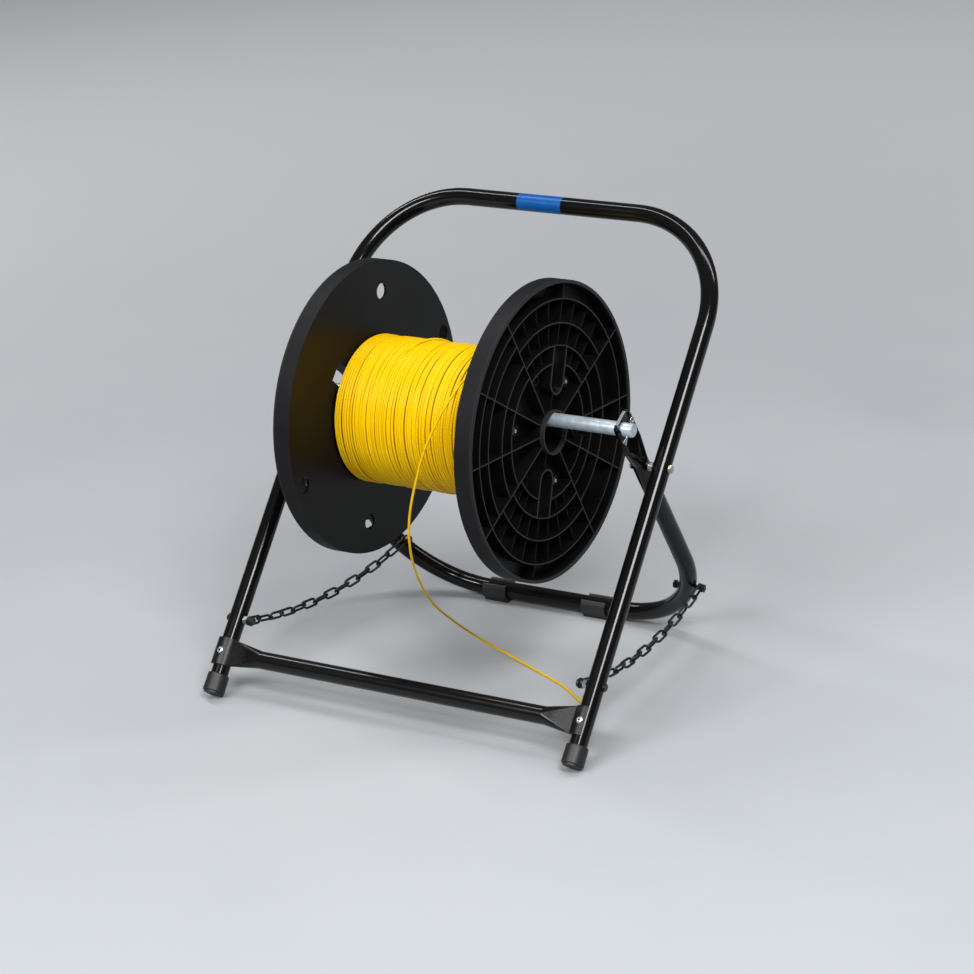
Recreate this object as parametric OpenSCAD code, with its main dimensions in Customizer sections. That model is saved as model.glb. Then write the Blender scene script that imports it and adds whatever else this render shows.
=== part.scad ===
// Folding cable caddy: an A-shaped tube stand that carries a free-running reel of thin cable.
// The front frame leans back from two rubber feet to a carrying handle.
// The rear frame hangs from two pivot bolts, is held open by two chains and carries the axle rod.
// +X runs to the right-hand leg, +Y to the back, +Z up. The origin is on the floor under the middle.

/* [Tubing] */
// Outside diameter of the frame tubes
tube_d = 22.2; // [21:0.1:23]
// Wall thickness of the frame tubes
tube_wall = 1.5; // [1.2:0.1:2]

/* [Front frame] */
// Distance between the centre lines of the front legs
front_w = 525; // [505:1:560]
// Length along the leg from the floor to the centre line of the handle bar
front_len = 712; // [690:1:740]
// Lean of the front legs from upright, in degrees
front_lean = 42; // [40:0.5:44]
// Bend radius of the handle corners, on the centre line
front_bend_r = 137; // [100:1:150]
// Distance along the leg from the floor to the crossbar
crossbar_s = 64.5; // [64:0.5:74]
// Width of the crushed crossbar end where it wraps a leg
saddle_w = 35; // [30:0.5:36]
// Thickness of the crushed crossbar end
saddle_t = 3.6; // [3:0.1:4.4]
// How far the left saddle reaches round its leg, in degrees from the inner side
saddle_left_a = 150; // [125:1:160]
// How far the right saddle reaches round its leg, in degrees from the inner side
saddle_right_a = 116; // [112:1:160]

/* [Rear frame] */
// Distance along the front leg from the floor to the pivot bolt
pivot_s = 388; // [375:1:400]
// Gap between a front leg and a rear leg, filled by a spacer
pivot_gap = 5.8; // [5:0.1:8]
// Lean of the rear legs from upright, in degrees
rear_lean = 28.3; // [27:0.1:30]
// Bend radius of the rear corners, on the centre line
rear_bend_r = 135; // [110:1:145]
// Height of the axle rod above the pivot, along the rear leg
axle_up = 72; // [66:0.5:76]
// Offset of the axle rod from the rear leg's centre line, towards the front
axle_off = 5.6; // [3:0.1:7]
// Width of the crushed end of a rear leg
tab_w = 35; // [33:0.5:37]
// Thickness of the crushed end of a rear leg
tab_t = 4.1; // [3.4:0.1:4.6]
// How far the crushed end reaches above the axle rod
tab_over = 13; // [11.5:0.5:15]

/* [Feet] */
// Diameter of the sole of a rubber foot
sole_d = 24; // [22:0.5:25]
// Diameter of a rubber foot above its sole
foot_d = 28; // [27:0.5:30]
// Length of a rubber foot along the leg
foot_h = 27.2; // [24:0.2:32]
// Wall of the clip-on glides
glide_t = 3.5; // [3:0.1:4]
// Width of a glide along the bar
glide_w = 35; // [25:1:40]
// Position of the left glide from the middle
glide_left_x = -87; // [-92:1:-60]
// Position of the right glide from the middle
glide_right_x = 64; // [55:1:92]

/* [Chains] */
// Number of links in each chain, an odd number
link_count = 15; // [13:2:15]
// Wire diameter of a link
link_wire = 2.6; // [2.2:0.1:2.8]
// Outside width of a link
link_w = 11.8; // [11.4:0.1:12.4]
// Distance along the front leg from the floor to the chain bolt
chain_s = 111; // [108:1:118]
// Place of the rear chain bolts round the rear corner, in degrees
chain_bend_a = 25.5; // [22:0.5:28]
// Sag of the left chain below the line between its bolts
sag_left = 20; // [17:0.5:23]
// Sag of the right chain below the line between its bolts
sag_right = 22; // [19:0.5:25]
// Twist of the left chain half way along, in degrees
twist_left = 45; // [0:5:60]

/* [Fasteners] */
// Diameter of the pivot bolts
pivot_bolt_d = 6.4; // [6:0.2:8]
// Diameter of the chain bolts
chain_bolt_d = 5.8; // [5.2:0.1:6]
// Diameter of the bolts that hold the reel together
tie_bolt_d = 5; // [4:0.5:5]
// Diameter of the domed head of a blind rivet
rivet_head_d = 8; // [6:0.2:9]

/* [Reel] */
// Outside diameter of the flanges
flange_d = 368; // [350:2:376]
// Depth of a flange from its web to the edge of its rim
flange_h = 23; // [20:0.5:26]
// Thickness of a flange's web
web_t = 3; // [2.4:0.1:3.5]
// Distance between the two flanges
drum_w = 236; // [220:1:240]
// Diameter of the drum
drum_d = 156; // [150:1:160]
// Diameter of the hub bore
hub_bore = 50; // [48:0.5:52]
// Thickness of the flange ribs
rib_t = 1.6; // [1.4:0.1:2.2]
// Width of the through slots
slot_w = 26; // [20:0.5:27]
// Turn of the reel, from level to its slots, in degrees
reel_turn = 70; // [0:5:180]
// Place of the reel along the rod, from the middle
reel_shift = -2.5; // [-4:0.5:4]

/* [Axle] */
// Diameter of the axle rod
rod_d = 17.2; // [15:0.1:18]
// Distance of the cotter pins in from the ends of the rod
cotter_in = 6.6; // [5:0.2:9]
// Turn of the cotter pins from upright, in degrees
pin_turn = 42; // [0:1:90]

/* [Cable] */
// Outside diameter of the wound cable
wound_d = 186; // [176:2:190]
// Diameter of one strand of the cable
cable_d = 3; // [2.6:0.1:3.2]

/* [Hidden] */
$fn = 72;

// Clearances: a bolt in a hole of its own body, a pin that turns, and faces that pass each other.
hole_gap = 0.05;
turn_gap = 0.06;
side_gap = 0.3;

tube_r = tube_d / 2;
bore_r = tube_r - tube_wall;
front_x = front_w / 2;
rear_x = front_x - tube_d - pivot_gap;
rod_r = rod_d / 2;
rod_x = front_x - tube_r - side_gap;
cotter_x = rod_x - cotter_in;

// The sole's back edge touches the floor, so its distance along the leg follows the lean.
sole_s = sole_d / 2 * tan(front_lean);
foot_s = sole_s + 2;
seat_s = exact(foot_s + 5);

// Depth of the whole stand, which sets where the origin lies.
y_front = sole_s * sin(front_lean) - sole_d / 2 * cos(front_lean);
y_back = front_len * sin(front_lean) + tube_r;
y_mid = (y_front + y_back) / 2;

pivot_y = pivot_s * sin(front_lean) - y_mid;
pivot_z = pivot_s * cos(front_lean);
bar_z = tube_r + glide_t;
rear_len = exact((pivot_z - bar_z) / cos(rear_lean));
bar_y = pivot_y + rear_len * sin(rear_lean);
axle_y = pivot_y - axle_up * sin(rear_lean) - axle_off * cos(rear_lean);
axle_z = pivot_z + axle_up * cos(rear_lean) - axle_off * sin(rear_lean);

// Rear chain bolts: x and distance below the pivot of the tube's centre line there.
corner_x = rear_x - rear_bend_r + rear_bend_r * cos(chain_bend_a);
corner_s = rear_len - rear_bend_r + rear_bend_r * sin(chain_bend_a);

// Tab of a rear leg, in the middle of the tube.
tab_x = rear_x - tab_t / 2;
tab_top = axle_up + tab_over;
tab_foot = 38;
neck_top = 9;
rim_r = 2.6;

// Crossbar neck: round up to neck_x, flat where the saddle begins.
neck_l = 44;
neck_x = front_x - tube_r - neck_l;
saddle_a = 28;

// Chain hardware across a front leg, outwards from the middle.
chain_bolt_r = chain_bolt_d / 2;
chain_nut_t = 5.2;
chain_front_x = front_x - tube_r - chain_nut_t - link_wire / 2 - 0.8;
corner_half = tube_r / cos(chain_bend_a);
chain_head_r = 5.2;
chain_head_x = corner_half + chain_head_r * tan(chain_bend_a) + 0.4;
chain_right_x = corner_x + corner_half + 5.1;
chain_left_x = -(corner_x - corner_half - 5.5);
chain_front_p = [0, chain_s * sin(front_lean) - y_mid, chain_s * cos(front_lean)];
chain_rear_p = [0, pivot_y + corner_s * sin(rear_lean), pivot_z - corner_s * cos(rear_lean)];

// Link shape: the wire's centre line is a slot with round ends, centred on the bolts at the ends.
link_r = (link_w - link_wire) / 2;
link_wire_r = link_wire / 2;
left_ends = [
    [-chain_front_x, chain_front_p.y, chain_front_p.z],
    [chain_left_x, chain_rear_p.y, chain_rear_p.z]
];
right_ends = [
    [chain_front_x, chain_front_p.y, chain_front_p.z],
    [chain_right_x, chain_rear_p.y, chain_rear_p.z]
];
chain_steps = 48;
left_table = chain_table(left_ends, sag_left);
right_table = chain_table(right_ends, sag_right);
link_play = 0.3;
left_pitch = link_pitch(left_table[chain_steps][0]);
right_pitch = link_pitch(right_table[chain_steps][0]);
link_half = exact((max(left_pitch, right_pitch) + link_play) / 2 - link_r + link_wire_r);

// Reel: the hub hangs on the rod, so its centre is below the rod by the slack in the bore.
flange_r = flange_d / 2;
flange_x = drum_w / 2;
rim_t = 4;
hub_r = hub_bore / 2;
hub_t = 2.4;
hub_proud = 3;
reel_z = axle_z - (hub_r - rod_r - 0.1);
rib_h = flange_h - 2;
thin_rib_h = flange_h - 7;
outer_ring_r = 161;
slot_in = 47;
slot_out = 104;
slot_wall = 2.2;
boss_count = 6;
left_turn = 245;
boss_pcd_r = 70;
boss_r = 6.4;
boss_h = 12;
boss_floor = 6;
drum_r = drum_d / 2;
drum_t = 3;
nut_t_tie = 4;
tie_r = tie_bolt_d / 2;

winding_bands = 9;
cable_r = cable_d / 2;
// Free end of the cable, from the top of the winding, over the front and down to the floor.
cable_points = [
    [100, -14, 427.1], [100, -60, 431], [99, -105, 436.5], [96, -138, 435.5], [86, -158, 416],
    [76, -169, 396], [66, -177, 374], [56, -182, 350], [44, -184, 316], [33, -184, 282],
    [24, -180, 248], [16, -169, 212], [7, -150, 180], [-4, -121, 142], [-13, -88, 106],
    [-17, -49, 70], [-6, -12, 32], [30, 4, 6], [86, -17, 1.5], [126, -36, 1.5],
    [153, -53, 1.5], [177, -71, 1.5], [195, -86, 1.5]
];
cable_sub = 3;
cable_sides = 8;

// A length to the nearest thousandth, so that straights and bends meet exactly.
function exact(l) = round(1000 * l) / 1000;

// Point on a sagging chain between two ends, at fraction t of the span.
function chain_point(ends, sag, t) =
    ends[0] + (ends[1] - ends[0]) * t - [0, 0, 4 * sag * t * (1 - t)];

// Direction of a sagging chain at fraction t.
function chain_way(ends, sag, t) =
    let (v = ends[1] - ends[0] - [0, 0, 4 * sag * (1 - 2 * t)]) v / norm(v);

// Pairs of length run and fraction t along a sagging chain.
function chain_table(ends, sag) = [
    for (i = 0, run = 0; i <= chain_steps;
        run = run + norm(chain_point(ends, sag, (i + 1) / chain_steps)
            - chain_point(ends, sag, i / chain_steps)), i = i + 1)
        [run, i / chain_steps]
];

// Spacing of the links, when the end links' round ends are centred on the bolts.
function link_pitch(run) = (run + 2 * (link_r - link_wire_r) - link_play) / link_count;

// Point of a smooth curve through p1 and p2, with neighbours p0 and p3.
function spline(p0, p1, p2, p3, t) =
    0.5 * (2 * p1 + (p2 - p0) * t + (2 * p0 - 5 * p1 + 4 * p2 - p3) * t * t
        + (3 * p1 - p0 - 3 * p2 + p3) * t * t * t);

// The points of a route with extra points between them, kept at or above the floor.
function smooth_route(pts, sub, r) =
    let (n = len(pts)) [
        for (i = [0 : n - 2], j = [0 : sub - 1])
            let (q = spline(pts[max(i - 1, 0)], pts[i], pts[i + 1], pts[min(i + 2, n - 1)], j / sub))
                [q.x, q.y, max(q.z, r)],
        pts[n - 1]
    ];

function unit(v) = v / norm(v);

// Direction of a route at each of its points.
function route_ways(pts) =
    let (n = len(pts)) [for (i = [0 : n - 1]) unit(pts[min(i + 1, n - 1)] - pts[max(i - 1, 0)])];

// Places its children on a front leg's plane: X across, Y to the back face, Z up the leg.
module on_front() {
    translate([0, -y_mid, 0])
        rotate([-front_lean, 0, 0])
            children();
}

// Places its children on the rear legs' plane: Z down the leg from the pivot, Y to the front.
module on_rear() {
    translate([0, pivot_y, pivot_z])
        rotate([180 + rear_lean, 0, 0])
            children();
}

// Repeats its children on both sides, the left one mirrored.
module both_sides() {
    children();
    mirror([1, 0, 0])
        children();
}

// Turns children drawn along Z so that they run along X.
module along_x() {
    rotate([90, 0, 90])
        children();
}

// A bar bent to a U: two legs up Z from start, round corners and a straight bar at height l.
module bent_bar(w, l, bend, r, start) {
    both_sides() {
        translate([w / 2, 0, start])
            cylinder(r = r, h = l - bend - start);
        translate([w / 2 - bend, 0, l - bend])
            rotate([90, 0, 0])
                rotate_extrude(angle = 90)
                    translate([bend, 0])
                        circle(r = r);
    }
    translate([bend - w / 2, 0, l])
        rotate([0, 90, 0])
            cylinder(r = r, h = w - 2 * bend);
}

// A rod along X from x0 to x1.
module x_rod(r, x0, x1) {
    translate([min(x0, x1), 0, 0])
        rotate([0, 90, 0])
            cylinder(r = r, h = abs(x1 - x0));
}

// A hexagon along X from x0 to x1, flats d apart.
module x_hex(d, x0, x1) {
    translate([min(x0, x1), 0, 0])
        rotate([0, 90, 0])
            cylinder(d = d / cos(30), h = abs(x1 - x0), $fn = 6);
}

// A hexagon nut along X, bored for a bolt of radius r.
module x_nut(d, r, x0, x1) {
    difference() {
        x_hex(d, x0, x1);
        x_rod(r + hole_gap, min(x0, x1) - 1, max(x0, x1) + 1);
    }
}

// Front frame: one tube from foot to foot, drilled for the pivots, the chains and the rivets.
module front_tube() {
    color("#1c1c1e")
        on_front()
            difference() {
                bent_bar(front_w, front_len, front_bend_r, tube_r, seat_s);
                bent_bar(front_w, front_len, front_bend_r, bore_r, seat_s - 1);
                both_sides() {
                    translate([0, 0, pivot_s])
                        x_rod(pivot_bolt_d / 2 + hole_gap, front_x - 20, front_x + 20);
                    translate([0, 0, chain_s])
                        x_rod(chain_bolt_r + hole_gap, front_x - 20, front_x + 20);
                    translate([front_x, 0, crossbar_s])
                        rotate([90, 0, 0])
                            cylinder(d = 4 + 2 * hole_gap, h = 20);
                }
            }
}

// A crushed end of the crossbar: a neck and a saddle that wraps the leg to angle a.
module crossbar_end(a) {
    flat_x = front_x - (tube_r + 1) * cos(saddle_a);
    flat_y = -(tube_r + saddle_t) * sin(saddle_a);
    hull() {
        translate([neck_x - 1, 0, 0])
            rotate([0, 90, 0])
                cylinder(r = tube_r - 0.3, h = 1, $fn = 32);
        translate([flat_x - 2, flat_y - 1, 0.3 - saddle_w / 2])
            cube([2, saddle_t - 0.6, saddle_w - 0.6]);
    }
    translate([front_x, 0, -saddle_w / 2])
        rotate([0, 0, 180 + saddle_a - 4])
            rotate_extrude(angle = a - saddle_a + 4)
                translate([tube_r, 0])
                    square([saddle_t, saddle_w]);
}

// Crossbar between the front legs, with both ends crushed to saddles.
module crossbar() {
    color("#1c1c1e")
        on_front()
            translate([0, 0, crossbar_s])
                difference() {
                    union() {
                        x_rod(tube_r, -neck_x, neck_x);
                        crossbar_end(saddle_right_a);
                        mirror([1, 0, 0])
                            crossbar_end(saddle_left_a);
                    }
                    both_sides()
                        translate([front_x, 0, 0])
                            rotate([90, 0, 0])
                                cylinder(d = 4 + 2 * hole_gap, h = 20);
                }
}

// Blind rivets that hold the saddles: a hollow shank and a domed head.
module crossbar_rivets() {
    head_r = rivet_head_d / 2;
    head_y = tube_r + saddle_t;
    color("#c9cacc")
        on_front()
            both_sides()
                translate([front_x, 0, crossbar_s])
                    rotate([90, 0, 0])
                        rotate_extrude()
                            polygon([
                                [1.1, tube_r - 3], [2, tube_r - 3], [2, head_y], [head_r, head_y],
                                [head_r, head_y + 0.3], [head_r - 0.8, head_y + 0.9],
                                [head_r - 1.8, head_y + 1.2], [1.1, head_y + 1.2]
                            ]);
}

// Rubber foot on the end of a front leg, square-cut, with a narrower sole.
module foot_tip() {
    foot_r = foot_d / 2;
    top_s = foot_s + foot_h - 4;
    on_front()
        translate([front_x, 0, 0])
            rotate_extrude()
                polygon([
                    [0, sole_s], [sole_d / 2, sole_s], [sole_d / 2, foot_s], [foot_r - 0.8, foot_s],
                    [foot_r, foot_s + 0.8], [foot_r - 0.4, top_s - 1], [foot_r - 1.2, top_s],
                    [tube_r, top_s], [tube_r, seat_s], [0, seat_s]
                ]);
}

module foot_tip_right() {
    color("#151515")
        foot_tip();
}

module foot_tip_left() {
    color("#151515")
        mirror([1, 0, 0])
            foot_tip();
}

// Pivot bolts: head inside the rear leg, threaded end outside the front leg.
module pivot_bolts() {
    r = pivot_bolt_d / 2;
    x0 = rear_x - tube_r - side_gap;
    color("#b9bbbd")
        translate([0, pivot_y, pivot_z])
            both_sides() {
                x_rod(r, x0, front_x + tube_r + 3.2);
                x_rod(6, x0 - 1.8, x0);
            }
}

// Pivot nuts and their washers on the outside of the front legs.
module pivot_nuts() {
    r = pivot_bolt_d / 2;
    x0 = front_x + tube_r;
    color("#c2a95e")
        translate([0, pivot_y, pivot_z])
            both_sides()
                difference() {
                    union() {
                        x_rod(5.4, x0, x0 + 0.5);
                        x_hex(9.6, x0 + 0.5, x0 + 2.7);
                    }
                    x_rod(r + hole_gap, x0 - 1, x0 + 4);
                }
}

// Spacers between the front and the rear legs: a sleeve and a wider washer at each end.
module pivot_spacers() {
    r = pivot_bolt_d / 2;
    x0 = rear_x + tube_r + side_gap;
    x1 = front_x - tube_r;
    color("#c9cacc")
        translate([0, pivot_y, pivot_z])
            both_sides()
                difference() {
                    union() {
                        x_rod(5, x0, x1);
                        x_rod(5.6, x0, x0 + 1);
                        x_rod(5.6, x1 - 1, x1);
                    }
                    x_rod(r + hole_gap, x0 - 1, x1 + 1);
                }
}

// Front chain bolts: a low head outside the leg, the end inside for the chain.
module chain_bolts_front() {
    x0 = front_x + tube_r;
    color("#1e1e1f")
        translate(chain_front_p)
            both_sides() {
                x_rod(chain_bolt_r, chain_front_x - 5.4, x0);
                x_rod(5.4, x0, x0 + 1.6);
                x_rod(4.2, x0 + 1.6, x0 + 2.8);
            }
}

module chain_nuts_front() {
    x0 = front_x - tube_r;
    color("#b9bbbd")
        translate(chain_front_p)
            both_sides()
                x_nut(10, chain_bolt_r, x0 - chain_nut_t, x0);
}

// Push-on caps that keep the chains on the front bolts.
module chain_caps_front() {
    x1 = chain_front_x - link_wire_r - 1.3;
    color("#161616")
        translate(chain_front_p)
            both_sides()
                difference() {
                    union() {
                        x_rod(6.4, x1 - 1.4, x1);
                        x_rod(4.8, x1 - 4, x1 - 1.4);
                    }
                    x_rod(chain_bolt_r, chain_front_x - 5.4, x1 + 1);
                }
}

// One chain link: long way along Y, flat side facing X.
module chain_link() {
    along_x() {
        for (s = [-1, 1]) {
            translate([-link_half, s * link_r, 0])
                rotate([0, 90, 0])
                    cylinder(r = link_wire_r, h = 2 * link_half, $fn = 24);
            rotate([0, 0, 90 * s - 180])
                translate([0, link_half, 0])
                    rotate_extrude(angle = 180, $fn = 32)
                        translate([link_r, 0])
                            circle(r = link_wire_r, $fn = 24);
        }
    }
}

// A sagging chain: every other link is turned by a quarter, and all share a twist at the middle.
module chain(ends, sag, table, pitch, twist) {
    first = (table[chain_steps][0] - (link_count - 1) * pitch) / 2;
    for (k = [0 : link_count - 1]) {
        t = lookup(first + k * pitch, table);
        v = chain_way(ends, sag, t);
        translate(chain_point(ends, sag, t))
            rotate([0, 0, -atan2(v.x, v.y)])
                rotate([asin(v.z), 0, 0])
                    rotate([0, 90 * (k % 2) + twist * sin(180 * t), 0])
                        chain_link();
    }
}

module chain_left() {
    color("#1e1e1f")
        chain(left_ends, sag_left, left_table, left_pitch, twist_left);
}

module chain_right() {
    color("#1e1e1f")
        chain(right_ends, sag_right, right_table, right_pitch, 0);
}

// Outline of a crushed leg end, drawn across and up from the pivot.
module tab_plan() {
    c = 6;
    h = tab_top - tab_foot;
    translate([-tab_w / 2, tab_foot - 1])
        square([tab_w, h - c + 1]);
    translate([c - tab_w / 2, tab_foot])
        square([tab_w - 2 * c, h]);
    for (s = [-1, 1])
        translate([s * (tab_w / 2 - c), tab_top - c])
            circle(r = c);
}

// Crushed end of the right rear leg: a round to flat neck, a flat tab and its folded edges.
module crushed_end() {
    edge_y = tab_w / 2 - rim_r;
    difference() {
        union() {
            hull() {
                translate([rear_x, 0, -neck_top - 0.5])
                    cylinder(r = tube_r, h = 0.5, $fn = 32);
                translate([tab_x, -tab_w / 2, -tab_foot])
                    cube([tab_t, tab_w, 0.5]);
                for (s = [-1, 1])
                    translate([tab_x + tab_t, s * edge_y, -tab_foot])
                        cylinder(r = rim_r, h = 0.5, $fn = 32);
            }
            mirror([0, 0, 1])
                translate([tab_x, 0, 0])
                    along_x()
                        linear_extrude(tab_t)
                            tab_plan();
            for (s = [-1, 1])
                translate([tab_x + tab_t, s * edge_y, 7 - tab_top])
                    cylinder(r = rim_r, h = tab_top - tab_foot - 7);
        }
        hull() {
            translate([rear_x + tube_r - 5, 0, -neck_top - 8])
                sphere(r = 3, $fn = 24);
            translate([tab_x + tab_t, 2.2 * rim_r - tab_w / 2, -tab_foot - 0.01])
                cube([20, tab_w - 4.4 * rim_r, 0.5]);
            translate([rear_x + tube_r + 4, 0, -neck_top - 8])
                sphere(r = 3, $fn = 24);
        }
    }
}

// Rear frame: one tube with crushed upper ends that carry the axle rod.
module rear_tube() {
    color("#1c1c1e")
        on_rear()
            difference() {
                union() {
                    bent_bar(2 * rear_x, rear_len, rear_bend_r, tube_r, -neck_top);
                    both_sides()
                        crushed_end();
                }
                bent_bar(2 * rear_x, rear_len, rear_bend_r, bore_r, 1 - neck_top);
                both_sides() {
                    x_rod(pivot_bolt_d / 2 + turn_gap, rear_x - 20, rear_x + 20);
                    translate([0, 0, corner_s])
                        x_rod(chain_bolt_r + hole_gap, corner_x - 25, corner_x + 25);
                    translate([0, axle_off, -axle_up])
                        x_rod(rod_r + turn_gap, tab_x - 10, tab_x + 20);
                }
            }
}

// Clip-on glide under the rear bar: a split ring with lips and a flat sole.
module glide(x) {
    outer_r = tube_r + glide_t;
    translate([x - glide_w / 2, bar_y, bar_z])
        along_x()
            linear_extrude(glide_w)
                difference() {
                    union() {
                        difference() {
                            circle(r = outer_r);
                            polygon([
                                [0, 0], [40 * cos(40), 40 * sin(40)], [0, 60],
                                [-40 * cos(40), 40 * sin(40)]
                            ]);
                        }
                        for (s = [-1, 1])
                            translate([s * (tube_r + 2) * cos(38), (tube_r + 2) * sin(38)])
                                circle(r = 2, $fn = 32);
                        translate([-9, -outer_r])
                            square([18, 5]);
                    }
                    circle(r = tube_r);
                }
}

module glide_left() {
    color("#121212")
        glide(glide_left_x);
}

module glide_right() {
    color("#121212")
        glide(glide_right_x);
}

// Rear chain bolts: the chain is outside the right leg and inside the left leg.
module chain_bolts_rear() {
    color("#1e1e1f")
        translate(chain_rear_p) {
            x_rod(chain_bolt_r, corner_x - chain_head_x, chain_right_x + 7.4);
            x_rod(chain_head_r, corner_x - chain_head_x - 3, corner_x - chain_head_x);
            x_rod(chain_bolt_r, -(corner_x + chain_head_x), chain_left_x + 7.4);
            x_rod(chain_head_r, -(corner_x + chain_head_x + 3), -(corner_x + chain_head_x));
        }
}

module chain_nuts_rear() {
    a = link_wire_r + 0.6;
    color("#1e1e1f")
        translate(chain_rear_p) {
            x_nut(10, chain_bolt_r, chain_right_x + a, chain_right_x + a + 4.6);
            x_nut(10, chain_bolt_r, chain_left_x + a, chain_left_x + a + 4.6);
        }
}

// Axle rod, drilled near each end for a cotter pin.
module axle_rod() {
    color("#c4c8cc")
        translate([0, axle_y, axle_z])
            difference() {
                union() {
                    x_rod(rod_r, 1 - rod_x, rod_x - 1);
                    both_sides()
                        translate([rod_x - 1, 0, 0])
                            rotate([0, 90, 0])
                                cylinder(r1 = rod_r, r2 = rod_r - 1, h = 1);
                }
                both_sides()
                    translate([cotter_x, 0, 0])
                        rotate([-pin_turn, 0, 0])
                            translate([0, 0, -rod_d])
                                cylinder(r = 1.35, h = 2 * rod_d);
            }
}

// Cotter pin: an eye above the rod, a shank through it and two spread legs below.
module cotter() {
    eye_r = 3.3;
    translate([cotter_x, axle_y, axle_z]) rotate([-pin_turn, 0, 0]) {
        translate([0, 0, -rod_r - 1])
            cylinder(r = 1.25, h = 2 * rod_r + 2.4, $fn = 32);
        translate([0, 0, rod_r + 0.8 + eye_r])
            rotate([90, 0, 90])
                rotate_extrude($fn = 40)
                    translate([eye_r, 0])
                        circle(r = 1.1, $fn = 20);
        for (s = [-1, 1])
            translate([0, 0, -rod_r - 1])
                rotate([s * 20, 0, 0])
                    mirror([0, 0, 1])
                        cylinder(r = 1.2, h = 9, $fn = 24);
    }
}

module cotter_pin_right() {
    color("#c9cacc")
        cotter();
}

module cotter_pin_left() {
    color("#c9cacc")
        mirror([1, 0, 0])
            cotter();
}

// Places its children on the reel: X along the slots, Y across them, Z along the axle.
module on_reel() {
    translate([reel_shift, axle_y, reel_z])
        along_x()
            rotate([0, 0, reel_turn])
                children();
}

// A ring drawn flat, w wide about radius r.
module ring(r, w) {
    difference() {
        circle(r = r + w / 2);
        circle(r = r - w / 2);
    }
}

// The part of its children between angles a0 and a1, up to 90 degrees apart.
module between(a0, a1) {
    far = 2 * flange_r;
    intersection() {
        children();
        polygon([[0, 0], [far * cos(a0), far * sin(a0)], [far * cos(a1), far * sin(a1)]]);
    }
}

// Outline of the slots on the reel's X line, each w wide, rounded at the hub end.
module slot_plan(w, out) {
    for (s = [0, 180])
        rotate([0, 0, s]) {
            translate([slot_in + slot_w / 2, 0])
                circle(r = w / 2);
            translate([slot_in + slot_w / 2, -w / 2])
                square([out - slot_in - slot_w / 2, w]);
        }
}

// Tall ribs of a flange: eight spokes, a full ring, part rings and the slot walls.
module rib_plan() {
    ring(outer_ring_r, rib_t);
    for (a = [45, 75, 105, 135, 225, 255, 285, 315])
        rotate([0, 0, a])
            translate([hub_r + 1, -rib_t / 2])
                square([flange_r - hub_r - 2, rib_t]);
    for (a = [0, 180], r = [83, slot_out + rib_t / 2, 132])
        between(a - 45, a + 45)
            ring(r, rib_t);
    for (r = [91, 112, 142])
        between(45, 135)
            ring(r, rib_t);
    for (r = [73, 94, 120])
        between(225, 315)
            ring(r, rib_t);
    slot_plan(slot_w + 2 * slot_wall, slot_out + 1);
}

// Thin ribs of a flange: short fins behind the slots, and one from hub and ring on the slot line.
module thin_rib_plan() {
    t = 1;
    for (a = [0, 180], b = [-33, -22, -11, 0, 11, 22, 33])
        rotate([0, 0, a + b])
            translate([b == 0 ? slot_out : 83, -t / 2])
                square([outer_ring_r - (b == 0 ? slot_out : 83), t]);
    for (a = [0, 180])
        rotate([0, 0, a]) {
            translate([hub_r + 1, -t / 2])
                square([slot_in - hub_r, t]);
            translate([outer_ring_r, -t / 2])
                square([flange_r - outer_ring_r - 1, t]);
        }
}

// Reel flange, its web against the drum and its ribs outwards along Z, the first boss at boss_a.
module flange(boss_a, holes) {
    difference() {
        union() {
            cylinder(r = flange_r, h = web_t, $fn = 144);
            linear_extrude(flange_h)
                difference() {
                    circle(r = flange_r, $fn = 144);
                    circle(r = flange_r - rim_t, $fn = 144);
                }
            linear_extrude(rib_h)
                rib_plan();
            linear_extrude(thin_rib_h)
                thin_rib_plan();
            cylinder(r = hub_r + hub_t, h = flange_h + hub_proud);
            for (i = [0 : boss_count - 1])
                rotate([0, 0, boss_a + 360 / boss_count * i])
                    translate([boss_pcd_r, 0, 0])
                        cylinder(r = boss_r, h = boss_h);
        }
        translate([0, 0, -1])
            cylinder(r = hub_r, h = flange_h + hub_proud + 2);
        translate([0, 0, -1])
            linear_extrude(flange_h + 2)
                slot_plan(slot_w, slot_out);
        for (i = [0 : boss_count - 1])
            rotate([0, 0, boss_a + 360 / boss_count * i])
                translate([boss_pcd_r, 0, -1]) {
                    cylinder(r = tie_r + hole_gap, h = boss_h + 2);
                    translate([0, 0, 1 + boss_floor])
                        cylinder(r = boss_r - 1.5, h = flange_h);
                }
        for (p = holes)
            rotate([0, 0, p[1]])
                translate([p[0], 0, -1])
                    cylinder(r = 10, h = web_t + 2);
    }
}

module reel_flange_right() {
    color("#141415")
        on_reel()
            translate([0, 0, flange_x])
                flange(30, []);
}

module reel_flange_left() {
    color("#141415")
        on_reel()
            rotate([0, 0, left_turn])
                rotate([180, 0, 0])
                    translate([0, 0, flange_x])
                        flange(left_turn - 30, [[145, 60], [145, 240], [168, -60], [168, 120]]);
}

// Drum between the flanges: barrel, hub sleeve, webs and the tubes round the tie bolts.
module reel_core() {
    color("#141415")
        on_reel()
            translate([0, 0, -flange_x])
                linear_extrude(drum_w)
                    difference() {
                        union() {
                            ring(drum_r - drum_t / 2, drum_t);
                            circle(r = hub_r + hub_t);
                            for (i = [0 : boss_count - 1])
                                rotate([0, 0, 30 + 360 / boss_count * i]) {
                                    translate([hub_r + 1, -rib_t / 2])
                                        square([drum_r - hub_r - 2, rib_t]);
                                    translate([boss_pcd_r, 0])
                                        circle(r = tie_r + 2);
                                }
                        }
                        circle(r = hub_r);
                        for (i = [0 : boss_count - 1])
                            rotate([0, 0, 30 + 360 / boss_count * i])
                                translate([boss_pcd_r, 0])
                                    circle(r = tie_r + hole_gap);
                    }
}

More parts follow.
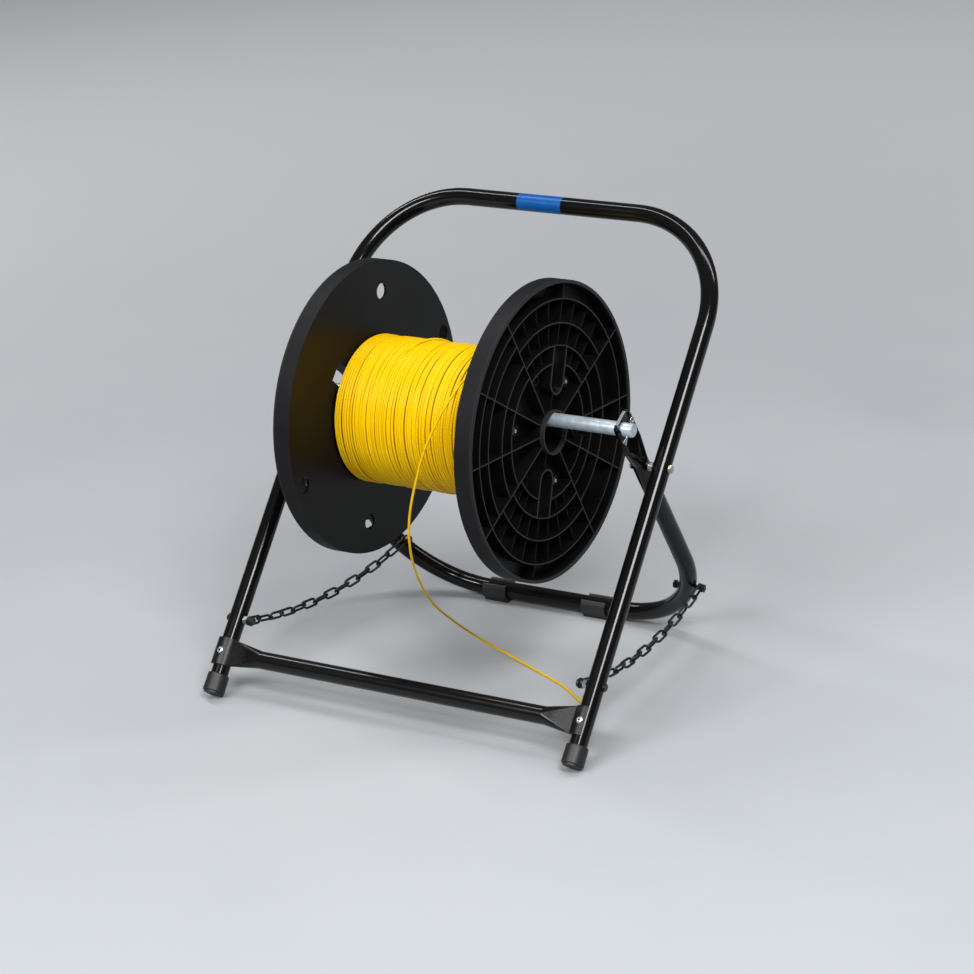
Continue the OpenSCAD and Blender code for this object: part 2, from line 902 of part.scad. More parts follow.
// Tie bolts through every second boss, heads on the left and ends on the right.
module tie_bolts() {
    seat = flange_x + boss_floor;
    color("#b9bbbd")
        on_reel()
            for (a = [-30, 90, 210])
                rotate([0, 0, a])
                    translate([boss_pcd_r, 0, -seat]) {
                        cylinder(r = tie_r, h = 2 * seat + nut_t_tie + 2.4);
                        translate([0, 0, -3.4])
                            cylinder(d = 8 / cos(30), h = 3.4, $fn = 6);
                    }
}

module tie_nuts() {
    seat = flange_x + boss_floor;
    color("#b9bbbd")
        on_reel()
            for (a = [-30, 90, 210])
                rotate([0, 0, a])
                    translate([boss_pcd_r, 0, seat])
                        difference() {
                            cylinder(d = 8 / cos(30), h = nut_t_tie, $fn = 6);
                            translate([0, 0, -1])
                                cylinder(r = tie_r + hole_gap, h = nut_t_tie + 2);
                        }
}

// Wound cable as one ring on the drum, in bands with a shallow groove between them.
module cable_winding() {
    w = drum_w - 2 * side_gap;
    pitch = exact(w / winding_bands);
    wound_r = wound_d / 2;
    color("#f2e21a")
        on_reel()
            translate([0, 0, side_gap - flange_x])
                rotate_extrude()
                    polygon([
                        [drum_r + side_gap, 0], [wound_r, 0],
                        for (i = [1 : winding_bands - 1], p = [[0, -1.2], [-0.9, 0], [0, 1.2]])
                            [wound_r + p[0], pitch * i + p[1]],
                        [wound_r, w], [drum_r + side_gap, w]
                    ]);
}

// Free end of the cable: a round strand swept along its route.
module cable_tail() {
    route = smooth_route(cable_points, cable_sub, cable_r);
    ways = route_ways(route);
    n = len(route);
    m = cable_sides;
    pts = [
        for (i = [0 : n - 1])
            let (
                side = unit(cross(ways[i], [0.94, -0.34, 0.02])),
                over = cross(side, ways[i])
            )
                for (j = [0 : m - 1])
                    route[i] + cable_r * (cos(360 * (j + 0.5) / m) * side + sin(360 * (j + 0.5) / m) * over)
    ];
    faces = concat(
        [[for (j = [0 : m - 1]) j]],
        [[for (j = [0 : m - 1]) n * m - 1 - j]],
        [
            for (i = [0 : n - 2], j = [0 : m - 1])
                [i * m + j, (i + 1) * m + j, (i + 1) * m + (j + 1) % m, i * m + (j + 1) % m]
        ]
    );
    color("#f2e21a")
        polyhedron(points = pts, faces = faces, convexity = 10);
}

front_tube();
crossbar();
crossbar_rivets();
foot_tip_left();
foot_tip_right();
pivot_bolts();
pivot_nuts();
pivot_spacers();
chain_bolts_front();
chain_nuts_front();
chain_caps_front();
chain_left();
chain_right();
rear_tube();
glide_left();
glide_right();
chain_bolts_rear();
chain_nuts_rear();
axle_rod();
cotter_pin_left();
cotter_pin_right();
reel_flange_left();
reel_flange_right();
reel_core();
tie_bolts();
tie_nuts();
cable_winding();
cable_tail();
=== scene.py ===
"""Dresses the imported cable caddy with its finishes, wound cable, chains, label and studio."""

from __future__ import annotations

import logging
import math
import random
from dataclasses import dataclass
from enum import Enum
from typing import Any, Sequence

import bmesh
import bpy
from mathutils import Matrix, Vector


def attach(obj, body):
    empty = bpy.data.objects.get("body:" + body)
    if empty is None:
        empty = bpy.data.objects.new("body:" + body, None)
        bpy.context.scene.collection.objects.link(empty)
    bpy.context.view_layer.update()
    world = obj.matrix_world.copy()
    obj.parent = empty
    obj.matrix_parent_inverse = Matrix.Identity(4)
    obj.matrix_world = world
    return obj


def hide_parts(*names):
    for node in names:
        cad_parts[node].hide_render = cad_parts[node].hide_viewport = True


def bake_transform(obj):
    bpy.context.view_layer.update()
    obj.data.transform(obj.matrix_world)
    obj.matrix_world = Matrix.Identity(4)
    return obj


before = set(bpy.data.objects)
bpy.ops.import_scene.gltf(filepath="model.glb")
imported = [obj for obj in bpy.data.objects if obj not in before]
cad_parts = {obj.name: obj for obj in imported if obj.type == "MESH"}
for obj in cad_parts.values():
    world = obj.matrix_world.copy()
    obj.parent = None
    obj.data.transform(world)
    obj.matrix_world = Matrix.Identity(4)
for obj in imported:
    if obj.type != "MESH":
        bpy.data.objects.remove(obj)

log = logging.getLogger("cable_caddy")

Colour = tuple[float, float, float]
Point = tuple[float, float, float]

# Where a smooth step gives 0 and where it gives 1.
Edge = tuple[float, float]

# A place along the reel's axis in metres and an angle round it in degrees.
ReelSpot = tuple[float, float]

# The middle of the reel, in metres in the row frame.
REEL_CENTRE: Point = (-0.0025, -0.0223589, 0.3327796)

# Points nearer than this are one point, in metres.
SAME_POINT = 1e-6

# How many corners a cable's section has, an even number.
CABLE_SIDES = 12


class Body(Enum):
    """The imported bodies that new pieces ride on."""

    FRONT = "front_frame"
    REAR = "rear_frame"
    REEL = "reel"


class Wire:
    """A socket's value that takes part in Python expressions by adding Math nodes."""

    def __init__(self, sheet: "NodeSheet", socket: bpy.types.NodeSocket) -> None:
        """Keeps the socket and the sheet that its new nodes go on.

        Args:
            sheet: The node sheet to add Math nodes to.
            socket: The output socket that carries the value.
        """
        self.sheet = sheet
        self.socket = socket

    def math(self, operation: str, *others: "Wire | float") -> "Wire":
        """Adds one Math node with this value first.

        Args:
            operation: The Math node's operation.
            others: The other values, wires or plain numbers.

        Returns:
            The wire that carries the result.
        """
        values = dict(enumerate((self, *others)))
        return self.sheet.node("ShaderNodeMath", {"operation": operation}, values)[0]

    def __add__(self, other: "Wire | float") -> "Wire":
        """Adds two values."""
        return self.math("ADD", other)

    __radd__ = __add__

    def __sub__(self, other: "Wire | float") -> "Wire":
        """Takes a value from this one."""
        return self.math("SUBTRACT", other)

    def __rsub__(self, other: float) -> "Wire":
        """Takes this value from a number."""
        return self.sheet.node("ShaderNodeMath", {"operation": "SUBTRACT"}, {0: other, 1: self})[0]

    def __mul__(self, other: "Wire | float") -> "Wire":
        """Multiplies two values."""
        return self.math("MULTIPLY", other)

    __rmul__ = __mul__

    def __abs__(self) -> "Wire":
        """The value without its sign."""
        return self.math("ABSOLUTE")

    def step(self, low: float, high: float) -> "Wire":
        """A smooth step from 0 at low to 1 at high.

        Args:
            low: The value that gives 0.
            high: The value that gives 1; it may be below low.

        Returns:
            The stepped value.
        """
        settings = {"interpolation_type": "SMOOTHSTEP"}
        values = {"Value": self, "From Min": low, "From Max": high, "To Min": 0.0, "To Max": 1.0}
        return self.sheet.node("ShaderNodeMapRange", settings, values)[0]


class NodeSheet:
    """One material's node tree and the way that every node gets onto it."""

    def __init__(self, name: str) -> None:
        """Starts an empty material.

        Args:
            name: The material's name.
        """
        self.material = bpy.data.materials.new(name)
        self.material.use_nodes = True
        self.tree = self.material.node_tree
        self.tree.nodes.clear()

    def node(
        self,
        kind: str,
        settings: dict[str, Any] | None = None,
        values: dict[str | int, Any] | None = None,
    ) -> list[Wire]:
        """Adds any node.

        Args:
            kind: The node's type.
            settings: Its properties, which are set first.
            values: Plain values or wires for its inputs, by name or number.

        Returns:
            A wire for each enabled output.
        """
        made = self.tree.nodes.new(kind)
        for key, value in (settings or {}).items():
            setattr(made, key, value)
        for key, value in (values or {}).items():
            socket = made.inputs[key]
            if isinstance(value, Wire):
                self.tree.links.new(value.socket, socket)
            elif socket.type == "RGBA":
                socket.default_value = (*value, 1.0)
            else:
                socket.default_value = value
        return [Wire(self, o) for o in made.outputs if o.enabled]

    def place(self) -> Wire:
        """The point on the piece, in metres in the row frame."""
        outputs = self.node("ShaderNodeTexCoord")
        return next(wire for wire in outputs if wire.socket.name == "Object")

    def split(self, vector: Wire) -> list[Wire]:
        """The three parts of a vector."""
        return self.node("ShaderNodeSeparateXYZ", None, {"Vector": vector})

    def scaled(self, vector: Wire, scale: Point) -> Wire:
        """A vector stretched along the axes.

        Args:
            vector: The vector to stretch.
            scale: The factor along each axis.

        Returns:
            The stretched vector.
        """
        return self.node("ShaderNodeMapping", None, {"Vector": vector, "Scale": scale})[0]

    def noise(self, vector: Wire, scale: float, detail: float = 3.0, rough: float = 0.5) -> Wire:
        """Cloudy noise between 0 and 1.

        Args:
            vector: Where the noise is read.
            scale: Clouds to the metre.
            detail: How many finer layers it has.
            rough: How strong the finer layers are.

        Returns:
            The noise value.
        """
        values = {"Vector": vector, "Scale": scale, "Detail": detail, "Roughness": rough}
        return self.node("ShaderNodeTexNoise", None, values)[0]

    def mix(self, share: Wire, first: Wire | Colour, second: Wire | Colour) -> Wire:
        """Mixes two colours.

        Args:
            share: How much of the second colour shows.
            first: The first colour.
            second: The second colour.

        Returns:
            The mixed colour.
        """
        # The sockets share their names, so they are given by number.
        values = {0: share, 6: first, 7: second}
        return self.node("ShaderNodeMix", {"data_type": "RGBA"}, values)[0]

    def bump(self, height: Wire, distance: float, strength: float = 1.0) -> Wire:
        """A normal bent by a height.

        Args:
            height: The height, from 0 to 1.
            distance: What a height of 1 stands for, in metres.
            strength: How much of it shows.

        Returns:
            The bent normal.
        """
        values = {"Height": height, "Distance": distance, "Strength": strength}
        return self.node("ShaderNodeBump", None, values)[0]

    def surface(self, **values: Any) -> bpy.types.Material:
        """Ends the sheet with a Principled shader.

        Args:
            values: Its inputs, with spaces written as underscores.

        Returns:
            The finished material.
        """
        named = {key.replace("_", " "): value for key, value in values.items()}
        shader = self.node("ShaderNodeBsdfPrincipled", None, named)[0]
        self.node("ShaderNodeOutputMaterial", None, {"Surface": shader})
        return self.material


@dataclass(frozen=True)
class Enamel:
    """Gloss black enamel on the frame tubes, with fine orange peel and a little dust."""

    name: str = "gloss_enamel"
    colour: Colour = (0.0028, 0.0027, 0.0028)
    dust: Colour = (0.05, 0.048, 0.046)
    roughness: float = 0.12

    def make(self) -> bpy.types.Material:
        """Builds the enamel.

        Returns:
            The enamel.
        """
        s = NodeSheet(self.name)
        at = s.place()
        cloud = s.noise(at, scale=34.0, detail=4.0, rough=0.6)
        fleck = s.noise(at, scale=620.0, detail=2.0, rough=0.7).step(0.66, 0.78)
        speck = fleck * s.noise(at, scale=16.0).step(0.45, 0.7)
        base = s.mix(speck * 0.5, self.colour, self.dust)
        peel = s.noise(at, scale=420.0, detail=2.0)
        rough = cloud * 0.08 + (self.roughness - 0.03) + speck * 0.3
        return s.surface(
            Base_Color=base, Roughness=rough, IOR=1.5, Specular_IOR_Level=0.28,
            Normal=s.bump(peel, distance=0.00003, strength=0.4),
        )


@dataclass(frozen=True)
class SaddlePaint:
    """Thicker enamel over the crushed ends, slightly wrinkled and duller, with scuffs and a painted
    brownish sheen.
    """

    name: str = "saddle_enamel"
    colour: Colour = (0.0035, 0.0034, 0.0034)
    # Brownish grey: scuffs, together with a painted sheen.
    wear_and_sheen: Colour = (0.05, 0.043, 0.038)
    roughness: float = 0.22
    neck_edge: Edge = (0.22, 0.238)

    def make(self) -> bpy.types.Material:
        """Builds the enamel of the crossbar, wrinkled, scuffed and painted with a brownish sheen
        towards its ends.

        Returns:
            The enamel.
        """
        s = NodeSheet(self.name)
        at = s.place()
        x, _, _ = s.split(at)
        end = abs(x).step(*self.neck_edge)
        wrinkle = s.noise(s.scaled(at, (1.0, 2.2, 1.0)), scale=210.0, detail=3.0, rough=0.6)
        # Towards the ends: patches of scuffed enamel and of painted brownish sheen.
        scuff = s.noise(at, scale=85.0, detail=5.0, rough=0.7).step(0.52, 0.74) * end
        base = s.mix(scuff * 0.5, self.colour, self.wear_and_sheen)
        rough = s.noise(at, scale=34.0, detail=4.0) * 0.14 + (self.roughness - 0.1) + end * 0.17
        height = wrinkle * end + s.noise(at, scale=420.0, detail=2.0) * 0.08
        return s.surface(
            Base_Color=base, Roughness=rough, IOR=1.5, Specular_IOR_Level=0.3,
            Normal=s.bump(height, distance=0.00035, strength=0.5),
        )


@dataclass(frozen=True)
class Rubber:
    """Matt black rubber, dusty where it meets the floor."""

    name: str = "foot_rubber"
    colour: Colour = (0.005, 0.005, 0.005)
    dust: Colour = (0.06, 0.057, 0.054)
    roughness: float = 0.5
    grime_top: float = 0.012

    def make(self) -> bpy.types.Material:
        """Builds the rubber.

        Returns:
            The rubber.
        """
        s = NodeSheet(self.name)
        at = s.place()
        _, _, z = s.split(at)
        patch = s.noise(at, scale=150.0, detail=4.0, rough=0.65).step(0.35, 0.7)
        grime = z.step(self.grime_top, 0.0) * patch
        base = s.mix(grime * 0.7, self.colour, self.dust)
        rough = s.noise(at, scale=90.0, detail=3.0) * 0.16 + (self.roughness - 0.08) + grime * 0.2
        return s.surface(
            Base_Color=base, Roughness=rough, IOR=1.5,
            Normal=s.bump(s.noise(at, scale=900.0, detail=3.0), distance=0.00006, strength=0.7),
        )


@dataclass(frozen=True)
class TrimPlastic:
    """Black moulded plastic of the glides and the chain caps."""

    name: str = "trim_plastic"
    colour: Colour = (0.01, 0.01, 0.0105)
    scratch: Colour = (0.06, 0.06, 0.06)
    roughness: float = 0.42

    def make(self) -> bpy.types.Material:
        """Builds the plastic.

        Returns:
            The plastic.
        """
        s = NodeSheet(self.name)
        at = s.place()
        line = s.noise(s.scaled(at, (30.0, 240.0, 240.0)), scale=3.0, detail=4.0, rough=0.7)
        scratch = line.step(0.6, 0.72)
        base = s.mix(scratch * 0.35, self.colour, self.scratch)
        rough = s.noise(at, scale=120.0) * 0.2 + (self.roughness - 0.1) + scratch * 0.15
        return s.surface(
            Base_Color=base, Roughness=rough, IOR=1.5,
            Normal=s.bump(s.noise(at, scale=1400.0, detail=2.0), distance=0.00003, strength=0.6),
        )


@dataclass(frozen=True)
class ReelPlastic:
    """Black moulded plastic of the reel: dark webs, rib tops painted paler for wear and as a
    painted highlight, a scuffed rim.
    """

    name: str = "reel_plastic"
    colour: Colour = (0.003, 0.003, 0.0032)
    # Rib tops: wear, together with a painted highlight where they catch the light.
    rib_wear_and_highlight: Colour = (0.024, 0.024, 0.025)
    scuff: Colour = (0.006, 0.0055, 0.007)
    centre: Point = REEL_CENTRE
    rim_edge: Edge = (0.1828, 0.1836)
    rib_edge: Edge = (0.1384, 0.1388)
    web_edge: Edge = (0.1183, 0.1179)

    def make(self) -> bpy.types.Material:
        """Builds the reel's plastic.

        Returns:
            The plastic.
        """
        s = NodeSheet(self.name)
        at = s.place()
        move = {"Location": tuple(-v for v in self.centre), "Vector": at}
        x, y, z = s.split(s.node("ShaderNodeMapping", None, move)[0])
        radius = (y * y + z * z).math("SQRT")
        rim = radius.step(*self.rim_edge)
        top = abs(x).step(*self.rib_edge)
        inner = abs(x).step(*self.web_edge)
        wear_and_sheen = s.noise(at, scale=46.0, detail=5.0, rough=0.68)
        streak = s.noise(s.scaled(at, (70.0, 9.0, 9.0)), scale=1.0, detail=4.0, rough=0.6)
        patch = s.noise(at, scale=7.5, detail=2.0, rough=0.4)
        # Rib tops painted paler, partly for wear and partly as a painted highlight where they catch
        # the light.
        base = s.mix(top * (wear_and_sheen * 0.5 + 0.5), self.colour, self.rib_wear_and_highlight)
        base = s.mix(rim * (wear_and_sheen.step(0.25, 0.85) * 0.7 + 0.3), base, self.scuff)
        rough = patch * 0.24 + 0.26 + rim * 0.2 + top * 0.12 - inner * 0.06 + streak * 0.06
        fine = s.noise(at, scale=700.0, detail=3.0) * 0.35 + wear_and_sheen * rim
        return s.surface(
            Base_Color=base, Roughness=rough, IOR=1.5, Specular_IOR_Level=0.15,
            Normal=s.bump(fine, distance=0.00009, strength=0.6),
        )


@dataclass(frozen=True)
class Plated:
    """A plated or drawn metal with a mottled sheen."""

    name: str
    colour: Colour
    shade: Colour
    roughness: float
    grain: Point = (200.0, 200.0, 200.0)
    metal: float = 1.0

    def make(self) -> bpy.types.Material:
        """Builds the metal.

        Returns:
            The metal.
        """
        s = NodeSheet(self.name)
        at = s.place()
        blotch = s.noise(at, scale=130.0, detail=4.0, rough=0.6)
        line = s.noise(s.scaled(at, self.grain), scale=6.0, detail=3.0, rough=0.6)
        base = s.mix(blotch.step(0.3, 0.75), self.colour, self.shade)
        rough = blotch * 0.16 + line * 0.12 + (self.roughness - 0.14)
        return s.surface(
            Base_Color=base, Roughness=rough, Metallic=self.metal,
            Normal=s.bump(line, distance=0.00003, strength=0.6),
        )


@dataclass(frozen=True)
class RivetMetal:
    """Bright rivet heads, with painted shade in the middle for the hole where the mandrel broke
    off.
    """

    name: str = "rivet_metal"
    colour: Colour = (0.72, 0.72, 0.73)
    hole_shade: Colour = (0.004, 0.004, 0.004)
    roughness: float = 0.26
    side: float = 0.2625
    height: float = -0.09804
    lean: float = math.radians(42)
    hole_edge: Edge = (0.0015, 0.0018)

    def make(self) -> bpy.types.Material:
        """Builds the metal, with the painted shade of the hole found by its place on the front
        frame.

        Returns:
            The metal.
        """
        s = NodeSheet(self.name)
        at = s.place()
        x, y, z = s.split(at)
        across = abs(x) - self.side
        along = y * math.sin(self.lean) + z * math.cos(self.lean) - self.height
        rim = (across * across + along * along).math("SQRT").step(*self.hole_edge)
        # The mandrel's hole is not cut; a dark, non-metal disc is painted there as its shade.
        base = s.mix(rim, self.hole_shade, self.colour)
        rough = s.noise(at, scale=900.0, detail=3.0) * 0.12 + self.roughness
        return s.surface(
            Base_Color=base, Roughness=rough, Metallic=rim,
            Normal=s.bump(rough, distance=0.00003, strength=0.6),
        )


@dataclass(frozen=True)
class Jacket:
    """Yellow cable jacket, a little glossy, with slight waviness and grime."""

    name: str = "cable_jacket"
    colour: Colour = (0.66, 0.405, 0.0)
    deep: Colour = (0.6, 0.335, 0.0)
    roughness: float = 0.36

    def make(self) -> bpy.types.Material:
        """Builds the jacket.

        Returns:
            The jacket.
        """
        s = NodeSheet(self.name)
        at = s.place()
        tone = s.noise(s.scaled(at, (260.0, 14.0, 14.0)), scale=1.0, detail=3.0, rough=0.55)
        base = s.mix(tone.step(0.35, 0.8), self.colour, self.deep)
        rough = s.noise(at, scale=220.0) * 0.14 + (self.roughness - 0.06)
        return s.surface(
            Base_Color=base, Roughness=rough, IOR=1.46, Specular_IOR_Level=0.12,
            Normal=s.bump(s.noise(at, scale=500.0, detail=2.0), distance=0.00004, strength=0.5),
        )


@dataclass(frozen=True)
class LabelFilm:
    """Plain blue film, softly creased."""

    name: str = "label_film"
    colour: Colour = (0.001, 0.058, 0.23)
    faded: Colour = (0.003, 0.085, 0.28)
    roughness: float = 0.33

    def make(self) -> bpy.types.Material:
        """Builds the label's film.

        Returns:
            The film.
        """
        s = NodeSheet(self.name)
        at = s.place()
        tone = s.noise(at, scale=90.0, detail=4.0, rough=0.6)
        base = s.mix(tone.step(0.4, 0.9) * 0.35, self.colour, self.faded)
        rough = tone * 0.16 + (self.roughness - 0.08)
        return s.surface(
            Base_Color=base, Roughness=rough, IOR=1.5, Specular_IOR_Level=0.25,
            Normal=s.bump(s.noise(at, scale=260.0, detail=3.0), distance=0.00006, strength=0.5),
        )


@dataclass(frozen=True)
class FloorFinish:
    """Pale, nearly plain floor, a little paler far from the stand."""

    name: str = "pale_floor"
    colour: Colour = (0.33, 0.345, 0.36)
    second: Colour = (0.32, 0.335, 0.351)
    far: Colour = (0.68, 0.695, 0.71)
    far_edge: Edge = (0.9, 3.8)
    roughness: float = 0.75

    def make(self) -> bpy.types.Material:
        """Builds the floor's finish.

        Returns:
            The finish.
        """
        s = NodeSheet(self.name)
        at = s.place()
        tone = s.noise(at, scale=3.0, detail=5.0, rough=0.6)
        base = s.mix(tone.step(0.35, 0.7), self.colour, self.second)
        x, y, _ = s.split(at)
        away = (x * x + y * y).math("SQRT").step(*self.far_edge)
        return s.surface(Base_Color=s.mix(away, base, self.far), Roughness=self.roughness, IOR=1.4)


class Finish(Enum):
    """The finishes of the caddy."""

    ENAMEL = Enamel()
    SADDLE = SaddlePaint()
    RUBBER = Rubber()
    TRIM = TrimPlastic()
    REEL = ReelPlastic()
    ZINC = Plated("zinc_plate", (0.5, 0.51, 0.52), (0.36, 0.37, 0.38), roughness=0.34)
    YELLOW_ZINC = Plated("yellow_zinc", (0.52, 0.46, 0.33), (0.42, 0.38, 0.3), roughness=0.36)
    ROD = Plated(
        "drawn_rod", (0.52, 0.59, 0.65), (0.34, 0.4, 0.45),
        roughness=0.4, grain=(12.0, 260.0, 260.0), metal=0.55,
    )
    BRIGHT = RivetMetal()
    CHAIN = Plated(
        "black_chain", (0.002, 0.002, 0.0021), (0.008, 0.0075, 0.0075), roughness=0.3, metal=0.1
    )
    JACKET = Jacket()
    # The cable under the layer, painted dark orange as the shade seen in the gaps between turns.
    SHADE = Jacket("cable_below_painted_shade", (0.26, 0.11, 0.0), (0.18, 0.07, 0.0))
    LABEL = LabelFilm()
    FLOOR = FloorFinish()


class Paint:
    """Makes each finish once and puts it on pieces."""

    def __init__(self) -> None:
        """Starts with nothing made."""
        self.made: dict[Finish, bpy.types.Material] = {}

    def of(self, finish: Finish) -> bpy.types.Material:
        """The material of a finish, made when it is first asked for.

        Args:
            finish: The finish.

        Returns:
            Its material.
        """
        if finish not in self.made:
            self.made[finish] = finish.value.make()
        return self.made[finish]

    def node(self, name: str, finish: Finish) -> None:
        """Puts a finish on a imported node.

        Args:
            name: The node's name.
            finish: The finish it gets.
        """
        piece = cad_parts[name]
        if not piece.material_slots:
            piece.data.materials.append(self.of(finish))
        for slot in piece.material_slots:
            slot.material = self.of(finish)
        log.info("node %s: %s", name, finish.name)

    def piece(self, piece: bpy.types.Object, finish: Finish, slot: str) -> None:
        """Puts a finish on a new piece.

        Args:
            piece: The piece.
            finish: The finish it gets.
            slot: Not used.
        """
        piece.data.materials.clear()
        piece.data.materials.append(self.of(finish))


class Sweep:
    """A round section led along straights and turns by bmesh operators."""

    def __init__(self, at: Point, way: Point, radius: float, sides: int) -> None:
        """Starts with one ring.

        Args:
            at: The ring's centre.
            way: The direction that the ring faces.
            radius: The section's radius.
            sides: How many corners the ring has.
        """
        self.bm = bmesh.new()
        turn = Vector(way).to_track_quat("Z", "Y").to_matrix().to_4x4()
        bmesh.ops.create_circle(
            self.bm, segments=sides, radius=radius, matrix=Matrix.Translation(at) @ turn
        )
        self.ring = self.bm.edges[:]

    def straight(self, by: Point) -> "Sweep":
        """Runs the ring straight on.

        Args:
            by: How far it moves, as a vector.

        Returns:
            The sweep.
        """
        made = bmesh.ops.extrude_edge_only(self.bm, edges=self.ring)["geom"]
        verts = [g for g in made if isinstance(g, bmesh.types.BMVert)]
        bmesh.ops.translate(self.bm, vec=by, verts=verts)
        edges = [g for g in made if isinstance(g, bmesh.types.BMEdge)]
        self.ring = [e for e in edges if all(v in verts for v in e.verts)]
        return self

    def turn(self, centre: Point, axis: Point, angle: float, steps: int) -> "Sweep":
        """Runs the ring round a bend.

        Args:
            centre: A point on the bend's axis.
            axis: The bend's axis.
            angle: How far it turns, in radians.
            steps: How many steps the bend has.

        Returns:
            The sweep.
        """
        made = bmesh.ops.spin(
            self.bm, geom=self.ring, cent=centre, axis=axis, angle=angle, steps=steps,
            use_merge=False,
        )["geom_last"]
        self.ring = [g for g in made if isinstance(g, bmesh.types.BMEdge)]
        return self

    def finish(self, name: str) -> bpy.types.Object:
        """Ends a sweep whose last ring meets its first.

        Args:
            name: The object's name.

        Returns:
            The new object.
        """
        bmesh.ops.remove_doubles(self.bm, verts=self.bm.verts, dist=SAME_POINT)
        bmesh.ops.recalc_face_normals(self.bm, faces=self.bm.faces)
        return as_object(self.bm, name)


def as_object(bm: bmesh.types.BMesh, name: str, smooth: bool = True) -> bpy.types.Object:
    """Turns a bmesh into an object at the origin.

    Args:
        bm: The bmesh, which is freed.
        name: The object's name.
        smooth: Whether its faces are shaded smooth.

    Returns:
        The new object.
    """
    mesh = bpy.data.meshes.new(name)
    for face in bm.faces:
        face.smooth = smooth
    bm.to_mesh(mesh)
    bm.free()
    piece = bpy.data.objects.new(name, mesh)
    bpy.context.scene.collection.objects.link(piece)
    return piece


def curve_piece(name: str, runs: Sequence[Sequence[Point]], radius: float) -> bpy.types.Object:
    """A curve object of open runs with a round section.

    Args:
        name: The object's name.
        runs: The points of each run.
        radius: The section's radius.

    Returns:
        The curve object.
    """
    curve = bpy.data.curves.new(name, "CURVE")
    curve.dimensions = "3D"
    curve.bevel_depth = radius
    curve.bevel_resolution = CABLE_SIDES // 2 - 2
    curve.use_fill_caps = True
    for points in runs:
        spline = curve.splines.new("POLY")
        spline.points.add(len(points) - 1)
        for spot, point in zip(spline.points, points):
            spot.co = (*point, 1.0)
        spline.use_smooth = True
    piece = bpy.data.objects.new(name, curve)
    bpy.context.scene.collection.objects.link(piece)
    return piece


def as_mesh(piece: bpy.types.Object) -> bpy.types.Object:
    """Turns a curve object into a mesh object of the same name.

    Args:
        piece: The curve object, which is removed.

    Returns:
        The mesh object.
    """
    name = piece.name
    graph = bpy.context.evaluated_depsgraph_get()
    mesh = bpy.data.meshes.new_from_object(piece.evaluated_get(graph))
    bpy.data.objects.remove(piece)
    mesh.name = name
    mesh.materials.clear()
    solid = bpy.data.objects.new(name, mesh)
    bpy.context.scene.collection.objects.link(solid)
    return solid


@dataclass
class PhotoCamera:
    """The camera that sees the caddy from where the photograph was taken."""

    place: Point = (2.095695, -3.054259, 1.69422)
    yaw: float = 34.203
    pitch: float = 21.54
    roll: float = -5.294
    focal_px: float = 3209.138
    image_px: int = 974
    sensor_mm: float = 36.0
    clip_end: float = 100.0

    def build(self) -> None:
        """Makes the camera and turns it as the photograph's was."""
        yaw, pitch, roll = (math.radians(a) for a in (self.yaw, self.pitch, self.roll))
        level = math.cos(pitch)
        ahead = Vector((-math.sin(yaw) * level, math.cos(yaw) * level, -math.sin(pitch)))
        right = Vector((math.cos(yaw), math.sin(yaw), 0.0))
        up = right.cross(ahead)
        across = right * math.cos(roll) + up * math.sin(roll)
        above = up * math.cos(roll) - right * math.sin(roll)
        data = bpy.data.cameras.new("photo_camera")
        data.sensor_fit = "HORIZONTAL"
        data.sensor_width = self.sensor_mm
        data.lens = self.focal_px / self.image_px * self.sensor_mm
        data.clip_end = self.clip_end
        camera = bpy.data.objects.new("photo_camera", data)
        turn = Matrix((across, above, -ahead)).transposed().to_4x4()
        camera.matrix_world = Matrix.Translation(self.place) @ turn
        bpy.context.scene.collection.objects.link(camera)
        bpy.context.scene.camera = camera
        log.info("camera built")


@dataclass(frozen=True)
class Lamp:
    """One flat lamp that faces a point."""

    name: str
    place: Point
    aim: Point
    size: tuple[float, float]
    watts: float

    def build(self) -> None:
        """Hangs the lamp."""
        data = bpy.data.lights.new(self.name, "AREA")
        data.shape = "RECTANGLE"
        data.size, data.size_y = self.size
        data.energy = self.watts
        lamp = bpy.data.objects.new(self.name, data)
        way = (Vector(self.aim) - Vector(self.place)).to_track_quat("-Z", "Y")
        lamp.matrix_world = Matrix.Translation(self.place) @ way.to_matrix().to_4x4()
        bpy.context.scene.collection.objects.link(lamp)


# Two long lamps run front to back, one lies across the front, and the key hangs on the right.
LAMPS = (
    Lamp("tube_lamp_left", (-1.6, 0.4, 3.6), (0, 0, 0.2), size=(0.3, 4.0), watts=75.0),
    Lamp("tube_lamp_right", (1.5, 1.4, 3.6), (0, 0, 0.2), size=(0.3, 4.0), watts=60.0),
    Lamp("tube_lamp_front", (-0.4, -2.9, 2.6), (0, 0, 0.25), size=(2.4, 0.5), watts=110.0),
    Lamp("key_lamp", (1.98, -1.53, 2.8), (0, 0, 0.3), size=(1.2, 1.2), watts=120.0),
)


@dataclass
class Studio:
    """A plain pale floor, soft lamps overhead and a pale surround."""

    paint: Paint
    floor_half: float = 20.0
    surround: Colour = (0.62, 0.64, 0.67)
    surround_strength: float = 0.2

    def build(self) -> None:
        """Builds the floor, the surround and the lamps."""
        bm = bmesh.new()
        bmesh.ops.create_grid(bm, x_segments=1, y_segments=1, size=self.floor_half)
        floor = as_object(bm, "floor", smooth=False)
        floor.data.materials.append(self.paint.of(Finish.FLOOR))
        world = bpy.data.worlds.new("surround")
        world.use_nodes = True
        back = world.node_tree.nodes["Background"]
        back.inputs[0].default_value = (*self.surround, 1.0)
        back.inputs[1].default_value = self.surround_strength
        bpy.context.scene.world = world
        for lamp in LAMPS:
            lamp.build()
        bpy.context.scene.view_settings.view_transform = "Standard"
        log.info("studio built: %d lamps", len(LAMPS))


